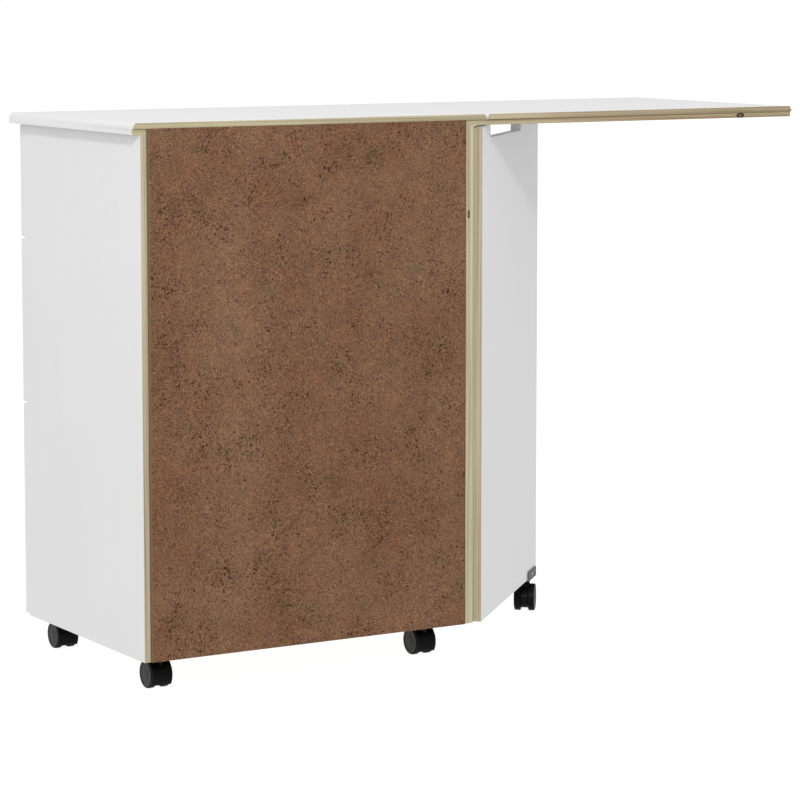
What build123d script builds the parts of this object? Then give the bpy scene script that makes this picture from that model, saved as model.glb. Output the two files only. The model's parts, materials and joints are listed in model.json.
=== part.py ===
"""Sewing table: a white pine cabinet on casters, with three drawers, a hinged leaf and a gate to carry it.

Millimetres. +X runs along the table, with the cabinet at +X and the leaf at -X. The drawers open to -Y,
the bare back is at +Y, and the floor is z = 0. The origin is the middle of the footprint.
"""

from build123d import *
import os

# overall sizes
TABLE_HEIGHT = 750.0
CABINET_WIDTH = 504.0  # over the two side panels
SIDE_DEPTH = 362.6
BOARD = 15.0  # thickness of every pine board
UNDERSIDE = 47.5  # lower edge of the side panels and the gate above the floor

# top and leaf
RIGHT_OVERHANG = 11.5
LEFT_OVERHANG = 19.0  # covers the folded gate
FRONT_OVERHANG = 8.0
SEAM_GAP = 1.0
LEAF_LENGTH = 520.5
LIP = 3.0  # the upper half of the rear edge stands out over the back panel
LIP_HEIGHT = 7.5
BEVEL_WIDTH = 3.0
BEVEL_DEPTH = 5.5

# back panel
BACK_THICKNESS = 3.0
BACK_INSET_RIGHT = 8.65
BACK_LAP_LEFT = 1.0

# drawers
FRONT_GAP = 3.0
FRONT_SHARES = (0.437, 0.335, 0.228)  # heights of the fronts, from the lowest up
FRONT_SIDE_INSET = 1.0
FRONT_STANDOFF = 0.4
DRAWER_BOARD = 12.0
DRAWER_CLEARANCE = 2.0
DRAWER_BOTTOM = 3.0
GROOVE = 5.0
RUNNER_RISE = 4.0
RUNNER_HEIGHT = 12.0
RUNNER_WIDTH = 12.0
STRETCHER_DEPTH = 60.0
KNOB_LENGTH = 22.0
KNOB_RADIUS = 15.0

# gate
GATE_ANGLE = 45.0  # how far the gate stands open
GATE_GAP = 1.5  # between the side panel and the closed gate
GATE_EDGE = 2.5  # from the hinge axis to the gate's hinge edge
GATE_REACH = 376.0  # from the hinge axis to the gate's free edge
GATE_DROP = 2.0  # below the leaf
AXIS_INSET = 9.4  # hinge axis in front of the side panel's rear edge
NOTCH_START = 53.0
NOTCH_END = 258.0
NOTCH_DEPTH = 17.4
NOTCH_SLOPE = 4.0
NOTCH_ROUND = 5.0

# hinges and screws
HINGE_LENGTH = 50.0
PIN_RADIUS = 1.0
PIN_CLEARANCE = 0.06
GATE_KNUCKLE = 2.1
GATE_FLAP = 0.7
LEAF_KNUCKLE = 3.0
LEAF_FLAP = 1.5
FLAP_REACH = LEFT_OVERHANG  # the top's flaps end at the side panel
KNUCKLE_GAP = 0.3
SCREW_HEAD = 2.6
SCREW_CORE = 1.2
SCREW_HEAD_HEIGHT = 1.5
SCREW_LENGTH = 12.0
NAIL_HEAD = 1.1
NAIL_SHANK = 0.7

# casters
WHEEL_RADIUS = 19.0
WHEEL_WIDTH = 9.75
WHEEL_GAP = 11.0
WEB_RADIUS = 15.0
TRAIL = 13.0
AXLE_RADIUS = 2.5
AXLE_CLEARANCE = 0.06
STEM_RADIUS = 3.0
STEM_DROP = 28.0  # from the plate's upper face to the stem's lower end
STEM_CLEARANCE = 0.05
PLATE_SIZE = 38.0
PLATE_THICKNESS = 2.5
HOOD_RADIUS = 21.0
HOOD_THICKNESS = 1.3
HOOD_LOW = -40.0
HOOD_HIGH = 105.0
REAR_CASTER_INSET = 43.0
FRONT_CASTER_INSET = 27.6
RIGHT_CASTER_INSET = 43.0
LEFT_CASTER_INSET = 53.0
GATE_CASTER_INSET = 36.0  # from the gate's free edge
GATE_CASTER_TURN = 6.0  # from the line of the gate
BRACKET_LENGTH = 54.0
BRACKET_HEIGHT = 12.0
BRACKET_FLANGE = 2.0

# positions that follow from the sizes
TOP_LENGTH = RIGHT_OVERHANG + CABINET_WIDTH + LEFT_OVERHANG
X_RIGHT = (TOP_LENGTH + SEAM_GAP + LEAF_LENGTH) / 2
X_SEAM = X_RIGHT - TOP_LENGTH
X_SIDE_RIGHT = X_RIGHT - RIGHT_OVERHANG
X_SIDE_LEFT = X_SIDE_RIGHT - CABINET_WIDTH
Y_LIP = (LIP + SIDE_DEPTH + FRONT_STANDOFF + BOARD + KNOB_LENGTH) / 2
Y_REAR = Y_LIP - LIP
Y_SIDE_FRONT = Y_REAR - SIDE_DEPTH
Y_FRONT_BACK = Y_SIDE_FRONT - FRONT_STANDOFF
Y_FRONT_FACE = Y_FRONT_BACK - BOARD
Y_TOP_FRONT = Y_FRONT_FACE - FRONT_OVERHANG
Z_TOP = TABLE_HEIGHT
Z_BOARD = TABLE_HEIGHT - BOARD
X_AXIS_GATE = X_SIDE_LEFT - GATE_GAP / 2
Y_AXIS_GATE = Y_REAR - AXIS_INSET
Z_GATE_TOP = Z_BOARD - GATE_DROP
X_INNER_RIGHT = X_SIDE_RIGHT - BOARD
X_INNER_LEFT = X_SIDE_LEFT + BOARD
Z_PLATE = UNDERSIDE - PLATE_THICKNESS
Z_COLLAR = Z_PLATE - KNUCKLE_GAP
GATE_MIDDLE = GATE_GAP / 2 + BOARD / 2
GATE_CASTER_REACH = GATE_REACH - GATE_CASTER_INSET
GATE = Pos(X_AXIS_GATE, Y_AXIS_GATE, 0) * Rot(0, 0, -GATE_ANGLE)
MIN_END = (Align.CENTER, Align.CENTER, Align.MIN)


def block(x0, x1, y0, y1, z0, z1):
    """A box between two corners."""
    middle = Pos((x0 + x1) / 2, (y0 + y1) / 2, (z0 + z1) / 2)
    return middle * Box(abs(x1 - x0), abs(y1 - y0), abs(z1 - z0))


def rod(start, direction, radius, length):
    """A cylinder that starts at a point and runs along a direction."""
    return Plane(origin=start, z_dir=direction).location * Cylinder(radius, length, align=MIN_END)


def screw(head, direction):
    """A countersunk wood screw with the flat of its head at a point."""
    cone = Cone(SCREW_HEAD, SCREW_CORE, SCREW_HEAD_HEIGHT, align=MIN_END)
    core = Cylinder(SCREW_CORE, SCREW_LENGTH, align=MIN_END)
    return Plane(origin=head, z_dir=direction).location * (cone + core)


def nail(head):
    """A panel pin driven from the back, its head flush with the back panel."""
    return rod(head, (0, -1, 0), NAIL_HEAD, 0.6) + rod(head, (0, -1, 0), NAIL_SHANK, 16.0)


def wedge(x0, y0, x1, y1, inward):
    """The strip that a bevel takes off a top edge, which runs from one point to the other."""
    across = Vector(*inward, 0)
    corner = Vector(x0, y0, Z_TOP)
    low = corner - Vector(0, 0, BEVEL_DEPTH)
    triangle = make_face(Polyline(corner, corner + across * BEVEL_WIDTH, low, close=True))
    along = Vector(x1 - x0, y1 - y0, 0)
    return extrude(triangle, amount=along.length, dir=along.normalized())


def slab(x0, x1):
    """A table board with a lip along its rear edge and its three other top edges bevelled."""
    board = block(x0, x1, Y_TOP_FRONT, Y_REAR, Z_BOARD, Z_TOP)
    board += block(x0, x1, Y_REAR, Y_LIP, Z_TOP - LIP_HEIGHT, Z_TOP)
    board -= wedge(x0, Y_TOP_FRONT, x1, Y_TOP_FRONT, (0, 1))
    board -= wedge(x0, Y_TOP_FRONT, x0, Y_LIP, (1, 0))
    board -= wedge(x1, Y_TOP_FRONT, x1, Y_LIP, (-1, 0))
    return board


def flap(offset, thickness, radius, bore, own, start):
    """One hinge flap with its knuckles. The pin runs along +Z from 0, and the flap reaches to -Y."""
    clear = radius + KNUCKLE_GAP
    plate = block(offset, offset + thickness, -FLAP_REACH, -clear, 0, HINGE_LENGTH)
    for low, high in own:
        plate += block(offset, offset + thickness, -clear - 1, -start, low, high)
        ring = rod((0, 0, low), (0, 0, 1), radius, high - low)
        plate += ring - rod((0, 0, low), (0, 0, 1), bore, high - low)
    return plate


THIRD = HINGE_LENGTH / 3
OUTER_KNUCKLES = ((0, THIRD - 0.15), (2 * THIRD + 0.15, HINGE_LENGTH))
MIDDLE_KNUCKLE = ((THIRD + 0.15, 2 * THIRD - 0.15),)
LOOSE_BORE = PIN_RADIUS + PIN_CLEARANCE
FLAP_SCREW_REACH = FLAP_REACH * 0.6
FLAP_SCREWS = (HINGE_LENGTH * 0.2, HINGE_LENGTH * 0.8)

parts = {}
pins = []
cabinet_screws = []
leaf_screws = []
gate_screws = []

# hinges under the seam: the top's flaps are fixed, the leaf's flaps turn
X_AXIS_LEAF = X_SEAM - SEAM_GAP / 2
Z_AXIS_LEAF = Z_BOARD - LEAF_KNUCKLE
FLAP_OFFSET = LEAF_KNUCKLE - LEAF_FLAP
NOTCH_CENTRE = Y_AXIS_GATE - (NOTCH_START + NOTCH_END) / 2
LEAF_HINGE_STARTS = (NOTCH_CENTRE + 20, NOTCH_CENTRE - 20 - HINGE_LENGTH)
top_flaps = []
leaf_flaps = []
for y0 in LEAF_HINGE_STARTS:
    y1 = y0 + HINGE_LENGTH
    towards_top = Plane(origin=(X_AXIS_LEAF, y1, Z_AXIS_LEAF), x_dir=(0, 0, 1), z_dir=(0, -1, 0))
    towards_leaf = Plane(origin=(X_AXIS_LEAF, y0, Z_AXIS_LEAF), x_dir=(0, 0, 1), z_dir=(0, 1, 0))
    fixed = flap(FLAP_OFFSET, LEAF_FLAP, LEAF_KNUCKLE, PIN_RADIUS, OUTER_KNUCKLES, 0)
    turning = flap(FLAP_OFFSET, LEAF_FLAP, LEAF_KNUCKLE, LOOSE_BORE, MIDDLE_KNUCKLE, 0)
    top_flaps.append(towards_top.location * fixed)
    leaf_flaps.append(towards_leaf.location * turning)
    pins.append(rod((X_AXIS_LEAF, y0, Z_AXIS_LEAF), (0, 1, 0), PIN_RADIUS, HINGE_LENGTH))
    for along in FLAP_SCREWS:
        head_z = Z_BOARD - LEAF_FLAP
        cabinet_screws.append(screw((X_AXIS_LEAF + FLAP_SCREW_REACH, y0 + along, head_z), (0, 0, 1)))
        leaf_screws.append(screw((X_AXIS_LEAF - FLAP_SCREW_REACH, y0 + along, head_z), (0, 0, 1)))

# hinges in the gap between the side panel and the gate
GATE_HINGES = (UNDERSIDE + 60, UNDERSIDE + 60 + (Z_GATE_TOP - UNDERSIDE) - 170)
AT_GATE_AXIS = Pos(X_AXIS_GATE, Y_AXIS_GATE, 0)
side_flaps = []
gate_flaps = []
knuckle_slots = []
for z0 in GATE_HINGES:
    fixed = flap(GATE_GAP / 2 - GATE_FLAP, GATE_FLAP, GATE_KNUCKLE, PIN_RADIUS, OUTER_KNUCKLES, 1.4)
    turning = flap(-GATE_GAP / 2, GATE_FLAP, GATE_KNUCKLE, LOOSE_BORE, MIDDLE_KNUCKLE, 1.4)
    side_flaps.append(AT_GATE_AXIS * Pos(0, 0, z0) * fixed)
    gate_flaps.append(GATE * Pos(0, 0, z0) * turning)
    pins.append(rod((X_AXIS_GATE, Y_AXIS_GATE, z0), (0, 0, 1), PIN_RADIUS, HINGE_LENGTH))
    slot_base = (X_AXIS_GATE, Y_AXIS_GATE, z0 - 1)
    knuckle_slots.append(rod(slot_base, (0, 0, 1), GATE_KNUCKLE + 0.4, HINGE_LENGTH + 2))
    for along in FLAP_SCREWS:
        inside = GATE_GAP / 2 - GATE_FLAP
        cabinet_screws.append(AT_GATE_AXIS * screw((inside, -FLAP_SCREW_REACH, z0 + along), (1, 0, 0)))
        gate_screws.append(GATE * screw((-inside, -FLAP_SCREW_REACH, z0 + along), (-1, 0, 0)))

# gate panel, with the notch that lets it pass the leaf hinges
gate = block(-GATE_GAP / 2 - BOARD, -GATE_GAP / 2, -GATE_REACH, -GATE_EDGE, UNDERSIDE, Z_GATE_TOP)
outline = Polyline(
    (-NOTCH_START, Z_GATE_TOP + 1),
    (-NOTCH_START - NOTCH_SLOPE, Z_GATE_TOP - NOTCH_DEPTH),
    (-NOTCH_END + NOTCH_SLOPE, Z_GATE_TOP - NOTCH_DEPTH),
    (-NOTCH_END, Z_GATE_TOP + 1),
    close=True,
)
notch = extrude(Plane.YZ * make_face(outline), amount=2 * GATE_REACH, both=True)
low_edges = notch.edges().filter_by(Axis.X).group_by(Axis.Z)[0]
notch = fillet(low_edges, NOTCH_ROUND)
gate -= notch

# gate caster bracket: an angle screwed to the gate's face and lower edge
outer = -GATE_GAP / 2 - BOARD
near = -GATE_CASTER_REACH + BRACKET_LENGTH / 2 - 2
far = near - BRACKET_LENGTH
bracket = block(outer - BRACKET_FLANGE, -GATE_GAP / 2 - 1, near, far, Z_PLATE, UNDERSIDE)
bracket += block(outer - BRACKET_FLANGE, outer, near, far, Z_PLATE, UNDERSIDE + BRACKET_HEIGHT)
ends = bracket.edges().filter_by(Axis.X).group_by(Axis.Z)[-1]
bracket = fillet(ends, 3.0)
face_screw = (outer - BRACKET_FLANGE, (near + far) / 2, UNDERSIDE + BRACKET_HEIGHT * 0.4)
gate_screws.append(GATE * screw(face_screw, (1, 0, 0)))
for y in (near - 8, far + 8):
    gate_screws.append(GATE * screw((-GATE_MIDDLE, y, Z_PLATE), (0, 0, 1)))
stem_base = (-GATE_MIDDLE, -GATE_CASTER_REACH, UNDERSIDE - STEM_DROP)
gate_stem = rod(stem_base, (0, 0, 1), STEM_RADIUS, STEM_DROP)
rivet_head = rod((-GATE_MIDDLE, -GATE_CASTER_REACH, UNDERSIDE), (0, 0, 1), 5.0, 1.5)
gate_stem += rivet_head
bracket -= gate_stem
gate -= rivet_head
glide_end = -GATE_REACH + 8
glide = block(-GATE_MIDDLE - 5, -GATE_MIDDLE + 5, glide_end, glide_end + 40, Z_GATE_TOP, Z_BOARD - 0.1)

parts["gate_panel"] = (GATE * gate).cut(*gate_screws)
parts["gate_hinge_gate_flaps"] = [one.cut(*gate_screws) for one in gate_flaps]
parts["gate_caster_bracket"] = (GATE * bracket).cut(*gate_screws)
parts["gate_caster_stem"] = GATE * gate_stem
parts["gate_glide"] = GATE * glide
parts["gate_screws"] = gate_screws

# leaf
leaf = slab(-X_RIGHT, X_SEAM - SEAM_GAP)
parts["leaf_board"] = leaf.cut(*leaf_screws)
parts["leaf_hinge_leaf_flaps"] = [one.cut(*leaf_screws) for one in leaf_flaps]
parts["leaf_screws"] = leaf_screws


def wheel():
    """A closed-face wheel. Its axle runs along +X from the middle of the caster."""
    inner = WHEEL_GAP / 2
    face = inner + WHEEL_WIDTH
    profile = Polyline(
        (inner, AXLE_RADIUS + AXLE_CLEARANCE),
        (inner, 6.0),
        (inner + 5.5, 6.0),
        (inner + 5.5, WHEEL_RADIUS - 3.0),
        (inner, WHEEL_RADIUS - 3.0),
        (inner, WHEEL_RADIUS - 2.2),
        (inner + 0.3, WHEEL_RADIUS - 0.9),
        (inner + 1.1, WHEEL_RADIUS),
        (face - 2.2, WHEEL_RADIUS),
        (face - 0.6, WHEEL_RADIUS - 0.7),
        (face, WHEEL_RADIUS - 2.4),
        (face, WHEEL_RADIUS - 4.0),
        (face - 0.8, WHEEL_RADIUS - 5.0),
        (face - 0.8, 5.0),
        (face - 0.2, 4.0),
        (face - 0.2, 0),
        (face - 1.7, 0),
        (face - 1.7, AXLE_RADIUS + AXLE_CLEARANCE),
        close=True,
    )
    return revolve(make_face(profile), Axis.X)


def housing():
    """The caster's body: a web between the wheels, a hood over them and a collar round the stem."""
    web_half = WHEEL_GAP / 2 - 0.4
    hood_half = WHEEL_GAP / 2 + WHEEL_WIDTH - 0.5
    span = HOOD_HIGH - HOOD_LOW
    side = Plane(origin=(0, -TRAIL, WHEEL_RADIUS), x_dir=(0, 1, 0), z_dir=(1, 0, 0))
    arc = CenterArc((0, 0), HOOD_RADIUS, HOOD_LOW, span)
    sector = make_face([arc, Line(arc @ 1, (0, 0)), Line((0, 0), arc @ 0)])
    hood = extrude(side * sector, amount=hood_half, both=True)
    hood -= extrude(side * Circle(HOOD_RADIUS - HOOD_THICKNESS), amount=hood_half, both=True)
    web = extrude(side * (sector + Circle(WEB_RADIUS)), amount=web_half, both=True)
    collar = rod((0, 0, WHEEL_RADIUS * 2), (0, 0, 1), 6.0, Z_COLLAR - WHEEL_RADIUS * 2)
    body = hood + web + collar
    stem_hole = (0, 0, UNDERSIDE - STEM_DROP - 0.5)
    body -= rod(stem_hole, (0, 0, 1), STEM_RADIUS + STEM_CLEARANCE, STEM_DROP + 10)
    body -= rod((-web_half, -TRAIL, WHEEL_RADIUS), (1, 0, 0), AXLE_RADIUS, 2 * web_half)
    return body


def add_caster(name, place):
    """The pieces of one caster below its mounting, with the stem's axis at the place."""
    axle_half = WHEEL_GAP / 2 + WHEEL_WIDTH - 2.0
    right = Pos(0, -TRAIL, WHEEL_RADIUS) * wheel()
    parts[name + "_caster_housing"] = place * housing()
    axle = rod((-axle_half, -TRAIL, WHEEL_RADIUS), (1, 0, 0), AXLE_RADIUS, 2 * axle_half)
    parts[name + "_caster_axle"] = place * axle
    parts[name + "_caster_wheel_a"] = place * right
    parts[name + "_caster_wheel_b"] = place * mirror(right, about=Plane.YZ)


X_CASTERS = {"right": X_SIDE_RIGHT - RIGHT_CASTER_INSET, "left": X_SIDE_LEFT + LEFT_CASTER_INSET}
Y_CASTERS = {"rear": Y_REAR - REAR_CASTER_INSET, "front": Y_SIDE_FRONT + FRONT_CASTER_INSET}
for row, y in Y_CASTERS.items():
    for column, x in X_CASTERS.items():
        name = row + "_" + column
        add_caster(name, Pos(x, y, 0))
        plate = Pos(x, y, Z_PLATE + PLATE_THICKNESS / 2) * Box(PLATE_SIZE, PLATE_SIZE, PLATE_THICKNESS)
        plate = fillet(plate.edges().filter_by(Axis.Z), 4.0)
        plate_screws = [
            screw((x + dx, y + dy, Z_PLATE), (0, 0, 1)) for dx in (-14, 14) for dy in (-14, 14)
        ]
        cabinet_screws.extend(plate_screws)
        stem = rod((x, y, UNDERSIDE - STEM_DROP), (0, 0, 1), STEM_RADIUS, STEM_DROP)
        parts[name + "_caster_plate"] = [plate.cut(stem, *plate_screws), stem]
AT_GATE_CASTER = GATE * Pos(-GATE_MIDDLE, -GATE_CASTER_REACH, 0)
add_caster("gate", AT_GATE_CASTER * Rot(0, 0, 180 + GATE_CASTER_TURN))

# drawer fronts, and the rails between them
Z_FRONTS = UNDERSIDE + 2
fronts_height = Z_BOARD - 2 - Z_FRONTS - FRONT_GAP * (len(FRONT_SHARES) - 1)
front_spans = []
z = Z_FRONTS
for share in FRONT_SHARES:
    front_spans.append((z, z + share * fronts_height))
    z += share * fronts_height + FRONT_GAP
rail_tops = [low - FRONT_GAP / 2 + BOARD / 2 for low, high in front_spans[1:]]
floors = [UNDERSIDE + BOARD] + rail_tops
ceilings = [top - BOARD for top in rail_tops] + [Z_BOARD - BOARD]

NAMES = ("lower_drawer", "middle_drawer", "upper_drawer")
runners = []
for name, (low, high), floor, ceiling in zip(NAMES, front_spans, floors, ceilings):
    front_left = X_SIDE_LEFT + FRONT_SIDE_INSET
    front_right = X_SIDE_RIGHT - FRONT_SIDE_INSET
    front = block(front_left, front_right, Y_FRONT_FACE, Y_FRONT_BACK, low, high)
    front = fillet(front.faces().sort_by(Axis.Y)[0].edges(), 1.5)
    x0 = X_INNER_LEFT + DRAWER_CLEARANCE
    x1 = X_INNER_RIGHT - DRAWER_CLEARANCE
    y0 = Y_FRONT_BACK
    y1 = Y_REAR - 8
    z0 = floor + RUNNER_RISE + 0.5
    z1 = ceiling - 8
    bottom = block(
        x0 + DRAWER_BOARD - GROOVE,
        x1 - DRAWER_BOARD + GROOVE,
        y0 + DRAWER_BOARD - GROOVE,
        y1 - DRAWER_BOARD + GROOVE,
        z0 + 8,
        z0 + 8 + DRAWER_BOTTOM,
    )
    boards = [
        block(x0, x0 + DRAWER_BOARD, y0, y1, z0, z1),
        block(x1 - DRAWER_BOARD, x1, y0, y1, z0, z1),
        block(x0 + DRAWER_BOARD, x1 - DRAWER_BOARD, y0, y0 + DRAWER_BOARD, z0, z1),
        block(x0 + DRAWER_BOARD, x1 - DRAWER_BOARD, y1 - DRAWER_BOARD, y1, z0, z1),
    ]
    knob_profile = Polyline(
        (0, 0),
        (8.0, 0),
        (6.5, 3.0),
        (6.0, 8.0),
        (8.0, KNOB_LENGTH - 10.5),
        (12.5, KNOB_LENGTH - 8.5),
        (KNOB_RADIUS, KNOB_LENGTH - 5.5),
        (KNOB_RADIUS - 0.8, KNOB_LENGTH - 2.5),
        (11.0, KNOB_LENGTH - 0.6),
        (0, KNOB_LENGTH),
        close=True,
    )
    knob = revolve(Plane.XZ * make_face(knob_profile), Axis.Z)
    out = Plane(origin=((x0 + x1) / 2, Y_FRONT_FACE, (low + high) / 2), z_dir=(0, -1, 0))
    parts[name + "_front"] = front
    parts[name + "_box"] = [board - bottom for board in boards]
    parts[name + "_bottom"] = bottom
    parts[name + "_knob"] = out.location * knob
    runner_low = floor
    runner_front = Y_SIDE_FRONT
    if floor != floors[0]:
        # behind the rail, and hanging a little below its top
        runner_low = floor + RUNNER_RISE - RUNNER_HEIGHT
        runner_front = Y_SIDE_FRONT + STRETCHER_DEPTH
    for x0 in (X_INNER_LEFT, X_INNER_RIGHT - RUNNER_WIDTH):
        x1 = x0 + RUNNER_WIDTH
        runners.append(block(x0, x1, runner_front, Y_REAR - 5, runner_low, floor + RUNNER_RISE))
parts["drawer_runners"] = runners

# carcass
right_side = block(X_INNER_RIGHT, X_SIDE_RIGHT, Y_SIDE_FRONT, Y_REAR, UNDERSIDE, Z_BOARD)
left_side = block(X_SIDE_LEFT, X_INNER_LEFT, Y_SIDE_FRONT, Y_REAR, UNDERSIDE, Z_BOARD)
left_side = left_side.cut(*knuckle_slots)
bottom_board = block(X_INNER_LEFT, X_INNER_RIGHT, Y_SIDE_FRONT, Y_REAR, UNDERSIDE, UNDERSIDE + BOARD)
top_board = slab(X_SEAM, X_RIGHT)
back_left = X_INNER_LEFT - BACK_LAP_LEFT
back_right = X_SIDE_RIGHT - BACK_INSET_RIGHT
back_top = Z_TOP - LIP_HEIGHT - 0.1
back = block(back_left, back_right, Y_REAR, Y_REAR + BACK_THICKNESS, UNDERSIDE, back_top)
y_nail = Y_REAR + BACK_THICKNESS
nails = []
for i in range(6):
    z = UNDERSIDE + 40 + i * (Z_BOARD - UNDERSIDE - 80) / 5
    nails.append(nail((back_right - 3.2, y_nail, z)))
for i in range(4):
    x = back_left + 50 + i * (back_right - back_left - 100) / 3
    nails.append(nail((x, y_nail, UNDERSIDE + BOARD / 2)))
    nails.append(nail((x, y_nail, Z_BOARD + 3.7)))
holes = cabinet_screws + nails
parts["right_side_panel"] = right_side.cut(*holes)
parts["left_side_panel"] = left_side.cut(*holes)
parts["bottom_board"] = bottom_board.cut(*holes)
parts["top_board"] = top_board.cut(*holes)
parts["back_panel"] = back.cut(*nails)
Z_STRETCHER = Z_BOARD - BOARD
parts["front_stretcher"] = block(
    X_INNER_LEFT, X_INNER_RIGHT, Y_SIDE_FRONT, Y_SIDE_FRONT + STRETCHER_DEPTH, Z_STRETCHER, Z_BOARD
)
parts["rear_stretcher"] = block(
    X_INNER_LEFT, X_INNER_RIGHT, Y_REAR - STRETCHER_DEPTH, Y_REAR, Z_STRETCHER, Z_BOARD
)
for name, top in zip(("lower_rail", "upper_rail"), rail_tops):
    parts[name] = block(
        X_INNER_LEFT, X_INNER_RIGHT, Y_SIDE_FRONT, Y_SIDE_FRONT + STRETCHER_DEPTH, top - BOARD, top
    )
parts["leaf_hinge_top_flaps"] = [one.cut(*cabinet_screws) for one in top_flaps]
parts["gate_hinge_side_flaps"] = [one.cut(*cabinet_screws) for one in side_flaps]
parts["hinge_pins"] = pins
parts["cabinet_screws"] = cabinet_screws
parts["back_nails"] = nails

os.makedirs("parts", exist_ok=True)
for name, shape in parts.items():
    solids = []
    for piece in shape if isinstance(shape, list) else [shape]:
        solids.extend(piece.solids())
    export_step(Compound(children=solids), os.path.join("parts", name + ".step"))
print(len(parts), "nodes")
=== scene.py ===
"""Looks for the sewing table: painted pine, bare rear edges, hardboard back, black casters."""

import json
import math

import bmesh
import bpy
import numpy as np
from mathutils import Matrix, Vector


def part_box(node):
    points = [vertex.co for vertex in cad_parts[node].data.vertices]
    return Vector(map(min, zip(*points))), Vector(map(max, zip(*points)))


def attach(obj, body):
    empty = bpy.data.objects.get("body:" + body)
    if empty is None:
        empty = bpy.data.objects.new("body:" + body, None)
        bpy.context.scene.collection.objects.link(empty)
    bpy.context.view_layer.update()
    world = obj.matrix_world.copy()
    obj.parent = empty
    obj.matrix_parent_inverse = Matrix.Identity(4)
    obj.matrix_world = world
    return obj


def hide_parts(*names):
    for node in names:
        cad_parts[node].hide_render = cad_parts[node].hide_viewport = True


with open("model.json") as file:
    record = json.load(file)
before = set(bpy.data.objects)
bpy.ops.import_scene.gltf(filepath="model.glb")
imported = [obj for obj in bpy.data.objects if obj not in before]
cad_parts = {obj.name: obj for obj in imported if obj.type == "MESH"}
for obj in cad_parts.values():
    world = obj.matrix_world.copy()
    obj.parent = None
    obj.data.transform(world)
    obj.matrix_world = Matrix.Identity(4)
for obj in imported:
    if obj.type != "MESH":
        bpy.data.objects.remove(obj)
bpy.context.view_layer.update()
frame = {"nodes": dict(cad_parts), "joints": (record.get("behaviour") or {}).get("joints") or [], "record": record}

NODES = frame["nodes"]
BODY_OF = {}
for body_name, members in frame["record"]["behaviour"]["bodies"].items():
    for member in members:
        BODY_OF[member] = body_name

PINE = ((0.56, 0.45, 0.29), (0.38, 0.28, 0.165))  # light and dark wood of the inner boards
PINE_GREY = ((0.52, 0.46, 0.335), (0.31, 0.245, 0.16))  # the rear edges of the right side and gate
PINE_PALE = ((0.60, 0.56, 0.40), (0.39, 0.335, 0.215))  # the left side's rear edge
PINE_GREEN = ((0.53, 0.48, 0.315), (0.33, 0.265, 0.15))  # the rear edge of the top
PINE_TAN = ((0.515, 0.44, 0.295), (0.31, 0.225, 0.125))  # the rear edge of the leaf
HALF_SQRT = math.sqrt(0.5)
GATE_REAR = Vector((HALF_SQRT, HALF_SQRT, 0))  # the gate's hinge edge faces this way at rest


# ---- materials ----------------------------------------------------------------------------------


class Shader:
    """One node material, built socket by socket around a Principled BSDF."""

    def __init__(self, name, **sockets):
        self.material = bpy.data.materials.new(name)
        self.material.use_nodes = True
        self.tree = self.material.node_tree
        self.tree.nodes.clear()
        self.surface = self.add("ShaderNodeBsdfPrincipled", **sockets)
        output = self.add("ShaderNodeOutputMaterial")
        self.tree.links.new(self.surface.outputs[0], output.inputs["Surface"])
        self.coordinates = self.add("ShaderNodeTexCoord").outputs["Object"]

    def add(self, kind, props=None, **sockets):
        node = self.tree.nodes.new(kind)
        for key, value in (props or {}).items():
            setattr(node, key, value)
        for key, value in sockets.items():
            self.set(node, key.replace("_", " "), value)
        return node

    def set(self, node, key, value):
        socket = node.inputs[key]
        if isinstance(value, bpy.types.NodeSocket):
            self.tree.links.new(value, socket)
        elif isinstance(value, tuple) and len(value) == 3 and len(socket.default_value) == 4:
            socket.default_value = (*value, 1.0)
        else:
            socket.default_value = value

    def mapped(self, scale, location=(0, 0, 0), rotation=(0, 0, 0)):
        node = self.add("ShaderNodeMapping", Vector=self.coordinates, Scale=scale, Rotation=rotation)
        node.inputs["Location"].default_value = location
        return node.outputs[0]

    def noise(self, vector, scale=1.0, detail=3.0, roughness=0.5, distortion=0.0):
        node = self.add("ShaderNodeTexNoise", Vector=vector, Scale=scale, Detail=detail)
        node.inputs["Roughness"].default_value = roughness
        node.inputs["Distortion"].default_value = distortion
        return node.outputs["Fac"]

    def ramp(self, value, *stops):
        node = self.add("ShaderNodeValToRGB", Fac=value)
        elements = node.color_ramp.elements
        while len(elements) < len(stops):
            elements.new(0.5)
        for element, (position, colour) in zip(elements, stops):
            element.position = position
            shade = (colour,) * 3 if isinstance(colour, float) else colour
            element.color = (*shade, 1.0)
        return node.outputs["Color"]

    def mix(self, factor, a, b, blend="MIX"):
        node = self.add("ShaderNodeMix", {"data_type": "RGBA", "blend_type": blend})
        for index, value in ((0, factor), (6, a), (7, b)):
            if isinstance(value, bpy.types.NodeSocket):
                self.tree.links.new(value, node.inputs[index])
            else:
                node.inputs[index].default_value = (*value, 1.0) if isinstance(value, tuple) else value
        return node.outputs[2]

    def math(self, operation, a, b):
        node = self.add("ShaderNodeMath", {"operation": operation})
        for index, value in ((0, a), (1, b)):
            if isinstance(value, bpy.types.NodeSocket):
                self.tree.links.new(value, node.inputs[index])
            else:
                node.inputs[index].default_value = value
        return node.outputs[0]

    def bump(self, height, strength, distance, after=None):
        node = self.add("ShaderNodeBump", Height=height, Strength=strength, Distance=distance)
        if after is not None:
            self.tree.links.new(after, node.inputs["Normal"])
        return node.outputs[0]

    def finish(self, colour=None, roughness=None, normal=None):
        for key, value in (("Base Color", colour), ("Roughness", roughness), ("Normal", normal)):
            if value is not None:
                self.set(self.surface, key, value)
        return self.material


def stretched(axis, along, across):
    """A texture scale that is low along one axis and high across it."""
    return tuple(along if index == axis else across for index in range(3))


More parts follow.
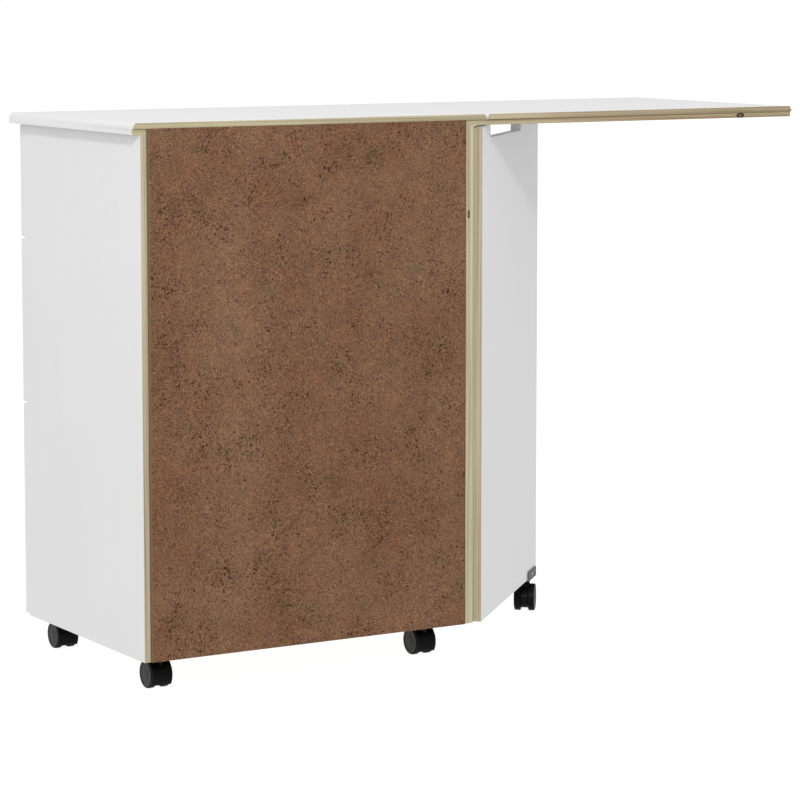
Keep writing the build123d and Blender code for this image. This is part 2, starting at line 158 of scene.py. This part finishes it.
def painted_wood(name, axis, shift=(0, 0, 0)):
    """Satin white paint, with the grain of the pine showing faintly through it."""
    s = Shader(name, Specular_IOR_Level=0.4, Coat_Weight=0.12, Coat_Roughness=0.35)
    grain = s.noise(s.mapped(stretched(axis, 2.0, 55.0), shift), 1.0, 4.0, 0.6, 0.6)
    fine = s.noise(s.mapped(stretched(axis, 18.0, 420.0), shift), 1.0, 3.0)
    roller = s.noise(s.coordinates, 750.0, 2.0)
    cloud = s.noise(s.coordinates, 5.0, 3.0, 0.6)
    base = s.ramp(cloud, (0.3, (0.768, 0.768, 0.770)), (0.7, (0.782, 0.782, 0.784)))
    tint = s.ramp(grain, (0.3, (0.985, 0.983, 0.978)), (0.6, (1.0, 1.0, 1.0)))
    colour = s.mix(0.6, base, tint, "MULTIPLY")
    roughness = s.math("ADD", s.math("MULTIPLY", roller, 0.12), 0.34)
    normal = s.bump(grain, 0.12, 0.0004)
    normal = s.bump(fine, 0.1, 0.0002, normal)
    normal = s.bump(roller, 0.1, 0.0002, normal)
    return s.finish(colour, roughness, normal)


def knot_reach(s, centre, size, axis):
    """0 at a knot's middle, 1 at its rim and more outside. size is its half length and half width."""
    scale = [1 / size[1]] * 3
    scale[axis] = 1 / size[0]
    offset = [-c * k for c, k in zip(centre, scale)]
    node = s.add("ShaderNodeMapping", Vector=s.coordinates, Scale=tuple(scale))
    node.inputs["Location"].default_value = offset
    length = s.add("ShaderNodeVectorMath", {"operation": "LENGTH"})
    s.tree.links.new(node.outputs[0], length.inputs[0])
    return length.outputs["Value"]


def bare_wood(name, axis, shift=(0, 0, 0), colours=PINE, knots=()):
    """Planed unfinished pine, with its growth rings as streaks along one axis."""
    s = Shader(name, Specular_IOR_Level=0.25)
    light, dark = colours
    middle = tuple((a * 2 + b) / 3 for a, b in zip(light, dark))
    rings = s.noise(s.mapped(stretched(axis, 1.3, 210.0), shift), 1.0, 2.0, 0.55, 0.35)
    streaks = s.noise(s.mapped(stretched(axis, 4.0, 620.0), shift), 1.0, 3.0, 0.6)
    fibres = s.noise(s.mapped(stretched(axis, 40.0, 2600.0), shift), 1.0, 2.0)
    patches = s.noise(s.mapped(stretched(axis, 5.0, 30.0), shift), 1.0, 2.0)
    colour = s.ramp(rings, (0.38, dark), (0.47, middle), (0.58, light))
    colour = s.mix(0.5, colour, s.ramp(streaks, (0.42, dark), (0.57, light)))
    tint = s.ramp(patches, (0.3, (0.86, 0.83, 0.78)), (0.7, (1.0, 1.0, 1.0)))
    colour = s.mix(0.7, colour, tint, "MULTIPLY")
    colour = s.mix(0.4, colour, s.ramp(fibres, (0.25, 0.78), (0.6, 1.0)), "MULTIPLY")
    for centre, size in knots:
        reach = knot_reach(s, centre, size, axis)
        wobble = s.math("ADD", reach, s.math("MULTIPLY", s.noise(s.coordinates, 420.0, 2.0), 0.3))
        ring = s.ramp(wobble, (0.35, 0.35), (0.6, 1.0), (1.1, 1.0), (1.35, 0.0))
        colour = s.mix(ring, colour, (0.035, 0.018, 0.008))
    roughness = s.math("ADD", s.math("MULTIPLY", fibres, 0.2), 0.55)
    normal = s.bump(streaks, 0.35, 0.0003)
    normal = s.bump(fibres, 0.35, 0.0002, normal)
    return s.finish(colour, roughness, normal)


def hardboard(name, edges=None):
    """Pressed fibreboard: brown, mottled, with dark and light fibre flecks.

    edges gives, for each upright edge of the panel where shade falls in the gap beside a side panel,
    its x, the way inwards, and the width and colour of the painted shade band."""
    s = Shader(name, Specular_IOR_Level=0.12)
    cloud = s.noise(s.mapped((9.0, 9.0, 7.0)), 1.0, 5.0, 0.65)
    blotch = s.noise(s.mapped((45.0, 45.0, 38.0), (0.3, 0.8, 0.1)), 1.0, 4.0, 0.7, 0.6)
    colour = s.ramp(cloud, (0.28, (0.150, 0.068, 0.034)), (0.72, (0.202, 0.111, 0.062)))
    mottle = s.ramp(
        blotch, (0.3, (0.82, 0.88, 0.84)), (0.5, (1.0, 1.0, 1.0)), (0.7, (1.18, 1.06, 1.02))
    )
    colour = s.mix(1.0, colour, mottle, "MULTIPLY")
    grit = s.noise(s.mapped((520.0, 520.0, 430.0), (0.1, 0.5, 0.2)), 1.0, 2.0, 0.7, 0.4)
    colour = s.mix(1.0, colour, s.ramp(grit, (0.3, 0.50), (0.5, 0.98), (0.7, 1.46)), "MULTIPLY")
    flecks = s.noise(s.mapped((330.0, 330.0, 330.0), (0.7, 0.2, 0.6)), 1.0, 2.0, 0.6, 0.9)
    clusters = s.noise(s.mapped((26.0, 26.0, 22.0), (0.9, 0.4, 0.5)), 1.0, 3.0, 0.6)
    dark = s.math("ADD", flecks, s.math("MULTIPLY", clusters, 0.35))
    colour = s.mix(s.ramp(dark, (0.51, 0.95), (0.59, 0.0)), colour, (0.030, 0.012, 0.006))
    turned = s.mapped((410.0, 410.0, 410.0), (0.4, 0.2, 0.9), (0.4, 0.2, 0.9))
    pale = s.noise(turned, 1.0, 2.0, 0.6, 0.8)
    colour = s.mix(s.ramp(pale, (0.58, 0.0), (0.68, 0.6)), colour, (0.33, 0.205, 0.12))
    # painted shade: a darker band along each given upright edge, for the shade in the gap beside the side panels
    if edges:
        x = s.add("ShaderNodeSeparateXYZ", Vector=s.coordinates).outputs["X"]
        for edge, inward, width, shade in edges:
            inset = s.math("MULTIPLY", s.math("SUBTRACT", x, edge), inward)
            painted_edge_shade = s.ramp(s.math("DIVIDE", inset, width), (0.75, 0.85), (1.0, 0.0))
            colour = s.mix(painted_edge_shade, colour, shade)
    roughness = s.math("ADD", s.math("MULTIPLY", grit, 0.2), 0.55)
    normal = s.bump(flecks, 0.35, 0.0004)
    normal = s.bump(grit, 0.3, 0.0003, normal)
    return s.finish(colour, roughness, normal)


def metal(name, colour, roughness, metallic=1.0, wear=0.2):
    """Plated or painted sheet steel with slight blotches and scratches."""
    s = Shader(name, Metallic=metallic, Specular_IOR_Level=0.2)
    blotch = s.noise(s.coordinates, 160.0, 4.0, 0.6)
    scratch = s.noise(s.mapped((60.0, 2500.0, 900.0), (0.2, 0.1, 0.4)), 1.0, 2.0)
    darker = tuple(c * (1 - wear) for c in colour)
    shade = s.ramp(blotch, (0.3, darker), (0.7, colour))
    rough = s.math("ADD", s.math("MULTIPLY", blotch, 0.2), roughness - 0.1)
    return s.finish(shade, rough, s.bump(scratch, 0.15, 0.0001))


def moulded(name, colour, roughness, gloss):
    """Injection-moulded nylon with a fine spark-eroded grain and rubbed patches."""
    s = Shader(name, Specular_IOR_Level=gloss)
    texture = s.noise(s.coordinates, 2600.0, 2.0)
    rub = s.noise(s.coordinates, 90.0, 4.0, 0.6)
    lighter = tuple(c * 1.35 + 0.001 for c in colour)
    shade = s.ramp(rub, (0.35, colour), (0.75, lighter))
    rough = s.math("ADD", s.math("MULTIPLY", rub, 0.25), roughness - 0.1)
    return s.finish(shade, rough, s.bump(texture, 0.25, 0.0001))


def felt(name):
    """Grey pressed felt."""
    s = Shader(name, Specular_IOR_Level=0.1, Sheen_Weight=0.4)
    fuzz = s.noise(s.coordinates, 1800.0, 4.0, 0.7)
    colour = s.ramp(fuzz, (0.3, (0.07, 0.066, 0.06)), (0.7, (0.15, 0.145, 0.135)))
    return s.finish(colour, 0.95, s.bump(fuzz, 0.8, 0.0006))


X, Y, Z = 0, 1, 2
PAINT_LONG = painted_wood("paint_long", X)
PAINT_TALL = painted_wood("paint_tall", Z)
PAINT_FRONT = painted_wood("paint_front", X, (0.3, 0.1, 0.7))
PAINT_KNOB = painted_wood("paint_knob", Y)
# knots: the middle, then the half length and half width
LEAF_KNOT = ((-0.438, 0.1985, 0.7382), (0.0080, 0.0044))
SIDE_KNOT = ((0.0205, 0.1985, 0.614), (0.0068, 0.0022))
EDGE_TOP = bare_wood("edge_top", X, (0, 3.1, 0.4), PINE_GREEN)
EDGE_LEAF = bare_wood("edge_leaf", X, (0, 1.7, 2.9), PINE_TAN, (LEAF_KNOT,))
EDGE_RIGHT = bare_wood("edge_right", Z, (1.3, 0, 0), PINE_GREY)
EDGE_LEFT = bare_wood("edge_left", Z, (4.7, 0, 0), PINE_PALE, (SIDE_KNOT,))
EDGE_GATE = bare_wood("edge_gate", Z, (2.2, 0, 0), PINE_GREY)
PINE_ACROSS = bare_wood("pine_across", X, (0, 0.6, 0.2))
PINE_DEEP = bare_wood("pine_deep", Y, (0.4, 0, 0.9))
BACK_LOW, BACK_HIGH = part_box("back_panel")
# painted shade bands along the back panel's two upright edges: x, the way inwards, width and colour
BACK_EDGE_SHADE = (
    (BACK_HIGH.x, -1, 0.0032, (0.155, 0.110, 0.062)),
    (BACK_LOW.x, 1, 0.0016, (0.105, 0.058, 0.030)),
)
BACK = hardboard("hardboard_back", BACK_EDGE_SHADE)
HARDBOARD = hardboard("hardboard")
BRONZED = metal("bronzed_steel", (0.115, 0.062, 0.036), 0.5, 0.3)
ZINC = metal("zinc", (0.62, 0.62, 0.63), 0.36)
BRACKET = metal("bracket_steel", (0.105, 0.105, 0.112), 0.5, 0.3)
BLACK = moulded("black_nylon", (0.0024, 0.0024, 0.0030), 0.4, 0.08)
# painted light: the wheels' outer disc faces, the same black nylon made lighter grey to stand in for the light on
# them
DISC_PAINTED_LIGHT = moulded("disc_nylon_painted_light", (0.028, 0.028, 0.029), 0.45, 0.2)
ENAMEL = metal("black_enamel", (0.004, 0.004, 0.005), 0.5, 0.0)
FELT = felt("felt")


# ---- pieces --------------------------------------------------------------------------------------


SHARP = math.radians(35)  # a CAD edge that bends more than this is an arris


def put(name, bm, materials, node, place=Matrix.Identity(4), smooth=50):
    """Makes an object from a bmesh. It stands for a CAD node, and rides on that node's body."""
    mesh = bpy.data.meshes.new(name)
    bm.to_mesh(mesh)
    bm.free()
    for material in materials:
        mesh.materials.append(material)
    mesh.shade_smooth()
    mesh.set_sharp_from_angle(angle=math.radians(smooth))
    piece = bpy.data.objects.new(name, mesh)
    piece.matrix_world = place
    bpy.context.scene.collection.objects.link(piece)
    normals = piece.modifiers.new("normals", "WEIGHTED_NORMAL")
    normals.keep_sharp = True
    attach(piece, BODY_OF[node])
    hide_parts(node)
    return piece


def joined(node):
    """A CAD node's mesh with its split corners welded and its flat faces whole."""
    bm = bmesh.new()
    bm.from_mesh(NODES[node].data)
    bmesh.ops.remove_doubles(bm, verts=bm.verts, dist=1e-6)
    bmesh.ops.dissolve_limit(bm, angle_limit=math.radians(0.5), verts=bm.verts, edges=bm.edges)
    return bm


def dress(node, materials, sort=None, ease=0.0005, shortest=0.006):
    """A piece in a CAD node's own shape with its long arrises eased.

    sort(normal, middle) gives the place in materials that a face takes."""
    bm = joined(node)
    arrises = []
    for edge in bm.edges:
        if len(edge.link_faces) == 2 and edge.calc_length() > shortest:
            if edge.calc_face_angle(0) > SHARP:
                arrises.append(edge)
    bmesh.ops.bevel(
        bm, geom=arrises, offset=ease, segments=2, profile=0.6, affect="EDGES", clamp_overlap=True
    )
    if sort:
        bm.normal_update()
        for face in bm.faces:
            face.material_index = sort(face.normal, face.calc_center_median())
    return put(node + "_shown", bm, materials, node)


def rear_bare(normal, middle):
    return 1 if normal.y > 0.7 else 0


def lip_bare(normal, middle):
    """The rear edge with its lip is bare, underside of the lip included."""
    behind = middle.y > REAR_FACE - 0.0004
    return 1 if behind and (normal.y > 0.3 or normal.z < -0.3) else 0


def gate_edge_bare(normal, middle):
    """Only the gate's hinge edge is bare, and not the ends of the notch."""
    return 1 if normal.dot(GATE_REAR) > 0.7 and middle.dot(GATE_REAR) > GATE_EDGE - 0.002 else 0


def inside_bare(towards):
    """Painted outside, and bare on the rear edge and on the face towards the drawers."""

    def sort(normal, middle):
        return 1 if normal.y > 0.7 or normal.x * towards > 0.7 else 0

    return sort


def drawer_box(node, board=0.012, ease=0.0005):
    """Four eased boards. The grain of the two sides runs along the drawer."""
    low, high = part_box(node)
    left, right = low.x + board, high.x - board
    plans = (
        (low.x, left, low.y, high.y),
        (right, high.x, low.y, high.y),
        (left, right, low.y, low.y + board),
        (left, right, high.y - board, high.y),
    )
    bm = bmesh.new()
    for number, (x0, x1, y0, y1) in enumerate(plans):
        size = Vector((x1 - x0, y1 - y0, high.z - low.z))
        middle = Vector(((x0 + x1) / 2, (y0 + y1) / 2, (low.z + high.z) / 2))
        made = bmesh.ops.create_cube(bm, size=1.0, matrix=Matrix.LocRotScale(middle, None, size))
        for face in {face for vert in made["verts"] for face in vert.link_faces}:
            face.material_index = 1 if number < 2 else 0
    bmesh.ops.bevel(bm, geom=bm.edges[:], offset=ease, segments=2, profile=0.6, affect="EDGES")
    put(node + "_shown", bm, (PINE_ACROSS, PINE_DEEP), node)


def soften(profile, reach, times=2):
    """Rounds the corners of an open profile, cutting up to reach off each side of a corner."""
    for _ in range(times):
        eased = [profile[0]]
        for a, b in zip(profile, profile[1:]):
            a, b = Vector(a), Vector(b)
            cut = min(0.25, reach / max((b - a).length, 1e-9))
            eased += [tuple(a.lerp(b, cut)), tuple(b.lerp(a, cut))]
        profile = eased + [profile[-1]]
        reach *= 0.5
    return profile


def spin(profile, segments=64):
    """A solid of revolution about +Z from (radius, height) pairs. A radius may depend on the turn."""
    bm = bmesh.new()
    rings = []
    for radius, height in profile:
        ring = []
        for i in range(segments):
            turn = 2 * math.pi * i / segments
            r = radius(turn) if callable(radius) else radius
            ring.append(bm.verts.new((r * math.cos(turn), r * math.sin(turn), height)))
        rings.append(ring)
    for low, high in zip(rings, rings[1:]):
        for i in range(segments):
            j = (i + 1) % segments
            bm.faces.new((low[i], low[j], high[j], high[i]))
    bm.faces.new(list(reversed(rings[0])))
    bm.faces.new(rings[-1])
    bmesh.ops.recalc_face_normals(bm, faces=bm.faces)
    return bm


def facing(origin, direction):
    """The placement that puts local +Z along a direction at a point."""
    turn = Vector(direction).to_track_quat("Z", "Y").to_matrix().to_4x4()
    return Matrix.Translation(origin) @ turn


# boards, sorted by where the bare faces are
REAR_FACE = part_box("right_side_panel")[1].y
GATE_EDGE = max(v.co.dot(GATE_REAR) for v in NODES["gate_panel"].data.vertices)
dress("top_board", (PAINT_LONG, EDGE_TOP), lip_bare)
dress("leaf_board", (PAINT_LONG, EDGE_LEAF), lip_bare)
dress("right_side_panel", (PAINT_TALL, EDGE_RIGHT), inside_bare(-1))
dress("left_side_panel", (PAINT_TALL, EDGE_LEFT), inside_bare(1))
dress("gate_panel", (PAINT_TALL, EDGE_GATE), gate_edge_bare)
dress("back_panel", (BACK,), ease=0.0003)
dress("bottom_board", (PINE_ACROSS,))
for node in ("front_stretcher", "rear_stretcher", "lower_rail", "upper_rail"):
    dress(node, (PINE_ACROSS,))
dress("drawer_runners", (PINE_DEEP,))
for drawer in ("upper_drawer", "middle_drawer", "lower_drawer"):
    dress(drawer + "_front", (PAINT_FRONT, PINE_ACROSS), rear_bare, ease=0.0003)
    drawer_box(drawer + "_box")
    dress(drawer + "_bottom", (HARDBOARD,), ease=0.0002)

# knobs
KNOB = (
    (0.0001, 0.0), (0.0080, 0.0), (0.0079, 0.0012), (0.0064, 0.0032), (0.0058, 0.0060),
    (0.0062, 0.0090), (0.0080, 0.0115), (0.0125, 0.0135), (0.0150, 0.0165), (0.0143, 0.0195),
    (0.0110, 0.0214), (0.0055, 0.0220),
    (0.0001, 0.0220),
)
for drawer in ("upper_drawer", "middle_drawer", "lower_drawer"):
    low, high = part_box(drawer + "_knob")
    base = ((low.x + high.x) / 2, high.y, (low.z + high.z) / 2)
    knob = spin(soften(KNOB, 0.004, 3), 48)
    put(drawer + "_knob_shown", knob, (PAINT_KNOB,), drawer + "_knob", facing(base, (0, -1, 0)))

# hinges, bracket, plates and glide
for node in (
    "leaf_hinge_top_flaps", "leaf_hinge_leaf_flaps", "gate_hinge_side_flaps", "gate_hinge_gate_flaps"
):
    dress(node, (ZINC,), ease=0.00015, shortest=0.003)
dress("gate_caster_bracket", (BRACKET,), ease=0.0003, shortest=0.002)
dress("gate_glide", (FELT,), ease=0.0004)

# screws: the CAD's own places, with a cross recess in each head


def recess(width, length):
    """The outline of a cross as a radius for each turn."""

    def radius(turn):
        c, s = abs(math.cos(turn)), abs(math.sin(turn))
        small, large = max(min(c, s), 1e-6), max(c, s)
        return min(length / large, width / small)

    return radius


def screw_mesh():
    profile = (
        (recess(0.00022, 0.0009), -0.0012),
        (recess(0.00042, 0.0016), 0.00001),
        (0.0020, 0.00002),
        (0.00255, -0.00003),
        (0.0026, -0.0001),
        (0.0012, -0.0015),
        (0.0012, -0.0110),
        (0.0002, -0.0120),
    )
    bm = spin(profile, 40)
    mesh = bpy.data.meshes.new("screw")
    bm.to_mesh(mesh)
    bm.free()
    return mesh


def islands(bm):
    """The vertices of a mesh in its connected groups."""
    left = set(bm.verts)
    while left:
        group, front = set(), [left.pop()]
        while front:
            vert = front.pop()
            group.add(vert)
            for edge in vert.link_edges:
                other = edge.other_vert(vert)
                if other in left:
                    left.discard(other)
                    front.append(other)
        yield group


def heads(node):
    """Where each screw's head is in a CAD node, and the way that it faces."""
    bm = joined(node)
    found = []
    for group in islands(bm):
        points = np.array([v.co for v in group])
        middle = points.mean(axis=0)
        axis = np.linalg.svd(points - middle)[2][0]
        along = (points - middle) @ axis
        across = np.linalg.norm(points - middle - np.outer(along, axis), axis=1)
        rim = across > 0.9 * across.max()
        sign = 1 if along[rim].mean() > 0 else -1
        found.append((tuple(points[rim].mean(axis=0)), tuple(axis * sign)))
    bm.free()
    return sorted(found)


SCREW = screw_mesh()
for node in ("cabinet_screws", "leaf_screws", "gate_screws"):
    bm = bmesh.new()
    for number, (spot, outward) in enumerate(heads(node)):
        before = len(bm.verts)
        bm.from_mesh(SCREW)
        bm.verts.ensure_lookup_table()
        turned = facing(spot, outward) @ Matrix.Rotation(number * 0.7, 4, "Z")
        bmesh.ops.transform(bm, matrix=turned, verts=bm.verts[before:])
    put(node + "_shown", bm, (ZINC,), node, smooth=35)

# casters
WHEEL = (
    (0.0001, 0.01355), (0.00256, 0.01355), (0.00256, 0.0055), (0.0060, 0.0055), (0.0060, 0.0110),
    (0.0160, 0.0110), (0.0160, 0.0055), (0.0167, 0.0055), (0.0180, 0.0058), (0.0190, 0.0066),
    (0.0190, 0.0131), (0.0182, 0.0147), (0.0165, 0.01525), (0.0150, 0.01525), (0.0141, 0.01475),
    (0.0135, 0.0146), (0.0058, 0.0148), (0.0050, 0.0151), (0.0036, 0.01525), (0.0001, 0.01525),
)
JOINTS = {joint["child"]: joint for joint in frame["joints"]}


def wheel_sort(bm):
    """Black tread and rim; the disc in the rim is painted lighter, as painted light on its face."""
    for face in bm.faces:
        middle = face.calc_center_median()
        disc = middle.z > 0.0143 and math.hypot(middle.x, middle.y) < 0.0172
        face.material_index = 1 if disc else 0


for caster in ("rear_right", "rear_left", "front_right", "front_left", "gate"):
    dress(caster + "_caster_housing", (BLACK,), ease=0.0004, shortest=0.0012)
    for side in ("a", "b"):
        node = caster + "_caster_wheel_" + side
        joint = JOINTS[caster + "_wheel_" + side]
        low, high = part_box(node)
        hub = Vector(joint["pos_m"])
        outward = Vector(joint["axis"])
        if outward.dot((low + high) / 2 - hub) < 0:
            outward = -outward
        bm = spin(soften(WHEEL, 0.0006, 2), 72)
        wheel_sort(bm)
        put(node + "_shown", bm, (BLACK, DISC_PAINTED_LIGHT), node, facing(hub, outward), smooth=40)
    if caster != "gate":
        dress(caster + "_caster_plate", (ENAMEL,), ease=0.0003, shortest=0.002)

# CAD nodes that keep their own mesh
PLAIN = {"back_nails": BRONZED, "gate_caster_stem": ENAMEL}
for node, piece in NODES.items():
    piece.data.materials.clear()
    piece.data.materials.append(PLAIN.get(node, ZINC))


# ---- camera, light and floor ----------------------------------------------------------------------

SKY_LIGHT = 0.75
GROUND_LIGHT = 0.70
MIRRORED_LIGHT = 0.9
KEY_WATTS = 122.0
FILL_WATTS = 12.0
FLOOR_GLOW = 0.96

scene = bpy.context.scene
scene.view_settings.view_transform = "Standard"

camera_data = bpy.data.cameras.new("camera")
camera_data.lens = 142.148
camera_data.sensor_width = 36.0
camera_data.shift_y = -0.1
camera_data.clip_end = 100.0
camera = bpy.data.objects.new("camera", camera_data)
yaw, pitch = -2.1092, -0.10878
camera.location = (2.30247, 3.83661, 0.93810)
look = Vector((math.cos(yaw) * math.cos(pitch), math.sin(yaw) * math.cos(pitch), math.sin(pitch)))
camera.rotation_mode = "QUATERNION"
camera.rotation_quaternion = look.to_track_quat("-Z", "Y")
scene.collection.objects.link(camera)
scene.camera = camera

# an even white studio: it shows as white, and lights the object a little less than it shows
world = bpy.data.worlds.new("studio")
world.use_nodes = True
SKY = world.node_tree


def sky_range(value, low, high, start=0.0, end=1.0):
    """Takes a value from start..end to low..high; each may be another node's output."""
    node = SKY.nodes.new("ShaderNodeMapRange")
    node.inputs["From Min"].default_value = start
    node.inputs["From Max"].default_value = end
    SKY.links.new(value, node.inputs["Value"])
    for key, bound in (("To Min", low), ("To Max", high)):
        if isinstance(bound, bpy.types.NodeSocket):
            SKY.links.new(bound, node.inputs[key])
        else:
            node.inputs[key].default_value = bound
    return node.outputs["Result"]


rays = SKY.nodes.new("ShaderNodeLightPath").outputs
direction = SKY.nodes.new("ShaderNodeTexCoord").outputs["Generated"]
split = SKY.nodes.new("ShaderNodeSeparateXYZ")
SKY.links.new(direction, split.inputs[0])
diffuse = sky_range(split.outputs["Z"], GROUND_LIGHT, SKY_LIGHT, -0.1, 0.1)
indirect = sky_range(rays["Is Glossy Ray"], diffuse, MIRRORED_LIGHT)
background = SKY.nodes["Background"]
background.inputs["Color"].default_value = (1.0, 1.0, 1.0, 1.0)
SKY.links.new(sky_range(rays["Is Camera Ray"], indirect, 1.0), background.inputs["Strength"])
scene.world = world


def softbox(name, place, target, size, power):
    data = bpy.data.lights.new(name, "AREA")
    data.shape = "DISK"
    data.size = size
    data.energy = power
    lamp = bpy.data.objects.new(name, data)
    lamp.location = place
    lamp.rotation_mode = "QUATERNION"
    lamp.rotation_quaternion = (Vector(target) - Vector(place)).to_track_quat("-Z", "Y")
    scene.collection.objects.link(lamp)


# the key light stands beyond the cabinet's rear corner, and casts the leaf's shadow on the gate
softbox("key", (2.15, 3.85, 2.85), (0, 0, 0.45), 0.5, KEY_WATTS)
softbox("fill", (4.0, 0.3, 2.2), (0.26, 0, 0.5), 2.0, FILL_WATTS)

floor_shader = Shader(
    "studio_floor", Roughness=0.9, Specular_IOR_Level=0.0, Emission_Strength=FLOOR_GLOW
)
floor_shader.surface.inputs["Emission Color"].default_value = (1.0, 1.0, 1.0, 1.0)
floor_tone = floor_shader.noise(floor_shader.coordinates, 2.0, 2.0)
floor_colour = floor_shader.ramp(floor_tone, (0.3, 0.155), (0.7, 0.165))
floor_mesh = bpy.data.meshes.new("floor")
FLOOR = 30.0
floor_corners = [(-FLOOR, -FLOOR, 0), (FLOOR, -FLOOR, 0), (FLOOR, FLOOR, 0), (-FLOOR, FLOOR, 0)]
floor_mesh.from_pydata(floor_corners, [], [(0, 1, 2, 3)])
floor_mesh.materials.append(floor_shader.finish(floor_colour))
floor = bpy.data.objects.new("floor", floor_mesh)
floor.visible_diffuse = False  # the object is lit from below by the world's lower half
floor.visible_glossy = False
scene.collection.objects.link(floor)
